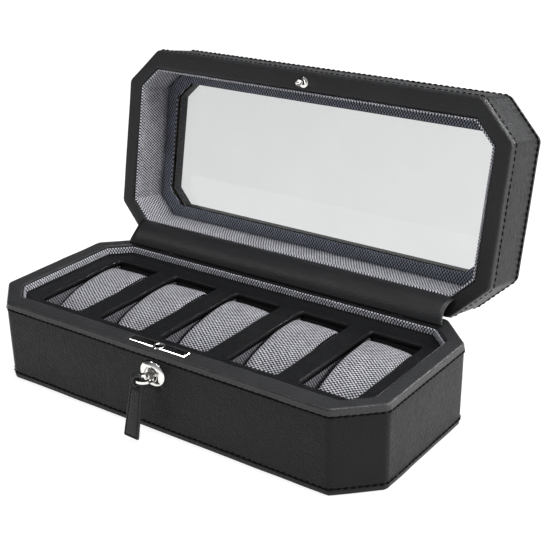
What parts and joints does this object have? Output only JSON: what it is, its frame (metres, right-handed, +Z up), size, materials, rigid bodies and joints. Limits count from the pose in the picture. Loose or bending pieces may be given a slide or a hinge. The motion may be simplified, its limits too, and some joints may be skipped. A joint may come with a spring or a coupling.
{
  "type": "watch box",
  "caption": "Elongated octagonal watch box covered in black leather, with a glazed hinged lid, weave-lined wells with lift-out cushions, and a front lock with key and leather tab.",
  "frame": {"origin": "middle of the underside of the base, on the surface that the box stands on", "axes": "+X along the box to the right seen from the front, +Y to the hinged rear, +Z up"},
  "size_m": [0.33, 0.2486, 0.2103],
  "materials": {
    "leather": "black pebble-grain leather, satin, sewn with black thread",
    "lining_weave": "grey basket weave with light dots on black",
    "cushion_weave": "grey basket weave with light dots on black, padded",
    "board": "raw fibreboard, hidden under the covering",
    "nickel": "polished nickel plate",
    "steel": "bright zinc-plated steel",
    "felt": "short black velour",
    "glass": "clear float glass, 3 mm"
  },
  "bodies": {
    "base": {"base_board_front": "board", "base_board_corner_fr": "board", "base_board_right": "board", "base_board_corner_rr": "board", "base_board_rear": "board", "base_board_corner_rl": "board", "base_board_left": "board", "base_board_corner_fl": "board", "base_floor_board": "board", "underside_pad": "felt", "base_side_leather": "leather", "base_rim_leather": "leather", "base_wall_lining": "lining_weave", "well_floor_pad": "lining_weave", "tray_frame": "leather", "well_front_board": "lining_weave", "well_rear_board": "lining_weave", "well_left_board": "lining_weave", "well_right_board": "lining_weave", "well_divider_1": "lining_weave", "well_divider_2": "lining_weave", "well_divider_3": "lining_weave", "well_divider_4": "lining_weave", "lock_case": "steel", "lock_face_plate": "nickel", "escutcheon": "nickel", "hinge_base_leaf_left": "steel", "hinge_base_leaf_right": "steel", "hinge_pin_left": "steel", "hinge_pin_right": "steel", "hinge_gusset": "leather"},
    "lid": {"lid_board_front": "board", "lid_board_corner_fr": "board", "lid_board_right": "board", "lid_board_corner_rr": "board", "lid_board_rear": "board", "lid_board_corner_rl": "board", "lid_board_left": "board", "lid_board_corner_fl": "board", "lid_top_frame": "board", "lid_side_leather": "leather", "lid_rim_leather": "leather", "lid_top_leather": "leather", "lid_window_trim": "leather", "lid_wall_lining": "lining_weave", "lid_window_border": "lining_weave", "lid_window_glass": "glass", "catch_stud": "nickel", "hinge_lid_leaf_left": "steel", "hinge_lid_leaf_right": "steel"},
    "lock_plug": {"lock_plug": "nickel"},
    "lock_bolt": {"lock_bolt": "steel"},
    "key": {"key": "nickel"},
    "key_loop": {"key_loop": "leather"},
    "key_tab": {"key_tab": "leather"},
    "cushion_1": {"cushion_1": "cushion_weave"},
    "cushion_2": {"cushion_2": "cushion_weave"},
    "cushion_3": {"cushion_3": "cushion_weave"},
    "cushion_4": {"cushion_4": "cushion_weave"},
    "cushion_5": {"cushion_5": "cushion_weave"}
  },
  "joints": [
    {"name": "lid_hinge", "type": "hinge", "parent": "base", "child": "lid", "pos_m": [0, 0.07525, 0.0628], "axis": [-1, 0, 0], "range_deg": [-101.3, 0], "deforming": ["hinge_gusset"]},
    {"name": "lock_turn", "type": "hinge", "parent": "base", "child": "lock_plug", "pos_m": [0, -0.075, 0.0455], "axis": [0, -1, 0], "range_deg": [0, 90]},
    {"name": "bolt_slide", "type": "slide", "parent": "base", "child": "lock_bolt", "axis": [1, 0, 0], "range_m": [-0.00707, 0]},
    {"name": "key_pull", "type": "slide", "parent": "lock_plug", "child": "key", "axis": [0, -1, 0], "range_m": [0, 0.02]},
    {"name": "loop_hang", "type": "hinge", "parent": "key", "child": "key_loop", "pos_m": [-0.00368, -0.08768, 0.0455], "axis": [0, -1, 0], "range_deg": [-90, 0], "deforming": ["key_loop"]},
    {"name": "tab_swing", "type": "hinge", "parent": "key_loop", "child": "key_tab", "pos_m": [-0.00368, -0.08768, 0.0405], "axis": [-1, 0, 0], "range_deg": [-25, 70]},
    {"name": "cushion_1_lift", "type": "slide", "parent": "base", "child": "cushion_1", "axis": [0, 0, 1], "range_m": [0, 0.05]},
    {"name": "cushion_2_lift", "type": "slide", "parent": "base", "child": "cushion_2", "axis": [0, 0, 1], "range_m": [0, 0.05]},
    {"name": "cushion_3_lift", "type": "slide", "parent": "base", "child": "cushion_3", "axis": [0, 0, 1], "range_m": [0, 0.05]},
    {"name": "cushion_4_lift", "type": "slide", "parent": "base", "child": "cushion_4", "axis": [0, 0, 1], "range_m": [0, 0.05]},
    {"name": "cushion_5_lift", "type": "slide", "parent": "base", "child": "cushion_5", "axis": [0, 0, 1], "range_m": [0, 0.05]}
  ],
  "couplings": [
    {"joint": "lock_turn", "follows": "bolt_slide", "rad_per_m": -222},
    {"joint": "loop_hang", "follows": "bolt_slide", "rad_per_m": 222}
  ]
}
